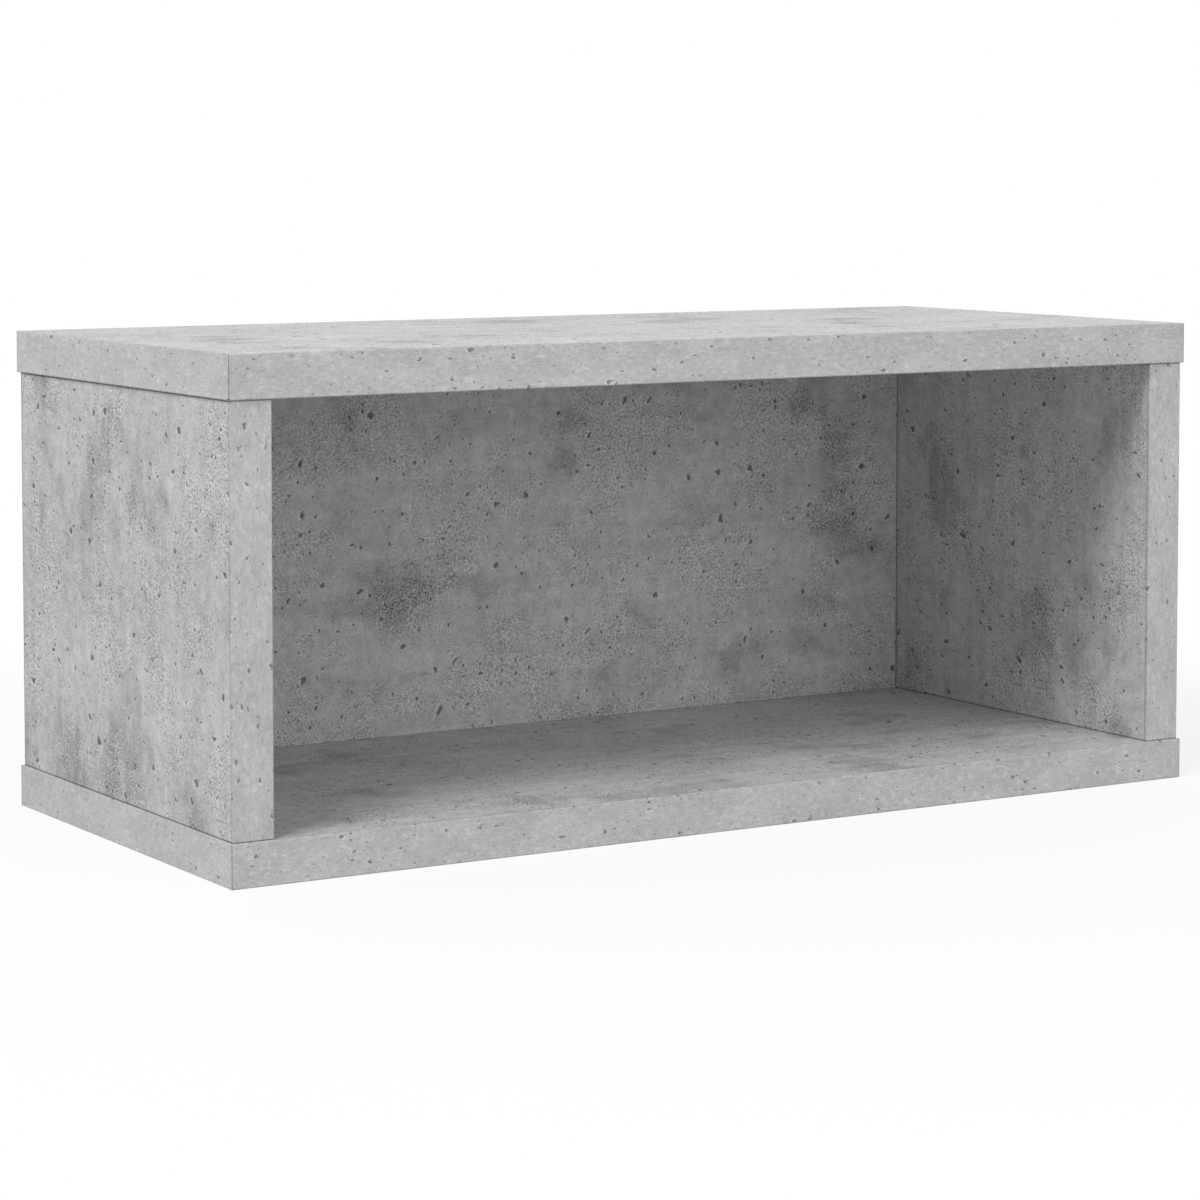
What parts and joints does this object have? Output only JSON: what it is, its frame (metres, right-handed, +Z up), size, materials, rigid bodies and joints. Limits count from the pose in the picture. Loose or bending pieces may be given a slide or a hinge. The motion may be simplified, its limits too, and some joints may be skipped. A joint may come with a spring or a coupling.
{
  "type": "cd rack",
  "caption": "Low open-fronted tabletop rack of flat boards with a mottled grey stone-like face and banded edges, which holds a row of disc cases.",
  "frame": {"origin": "middle of the underside, on the surface that the rack stands on", "axes": "+Z up, +X along the rack's width, -Y out of the open front"},
  "size_m": [0.4, 0.177, 0.174],
  "materials": {
    "faced_board": "chipboard faced with a matt print of mottled grey concrete",
    "edge_band": "matt edge band printed as smoother, slightly lighter concrete",
    "beech_dowel": "bare turned beech with pressed flutes",
    "plated_steel": "bright zinc-plated steel",
    "zinc_casting": "dull as-cast zinc alloy"
  },
  "bodies": {
    "root": {"top_board": "faced_board", "bottom_board": "faced_board", "left_side_board": "faced_board", "right_side_board": "faced_board", "back_board": "faced_board", "top_left_band": "edge_band", "top_right_band": "edge_band", "top_front_band": "edge_band", "top_rear_band": "edge_band", "bottom_left_band": "edge_band", "bottom_right_band": "edge_band", "bottom_front_band": "edge_band", "bottom_rear_band": "edge_band", "left_side_front_band": "edge_band", "left_side_rear_band": "edge_band", "right_side_front_band": "edge_band", "right_side_rear_band": "edge_band", "side_top_dowels": "beech_dowel", "back_end_dowels": "beech_dowel", "side_screws": "plated_steel", "back_screws": "plated_steel", "back_cam_bolts": "plated_steel", "back_cam_housings": "zinc_casting"}
  },
  "joints": []
}
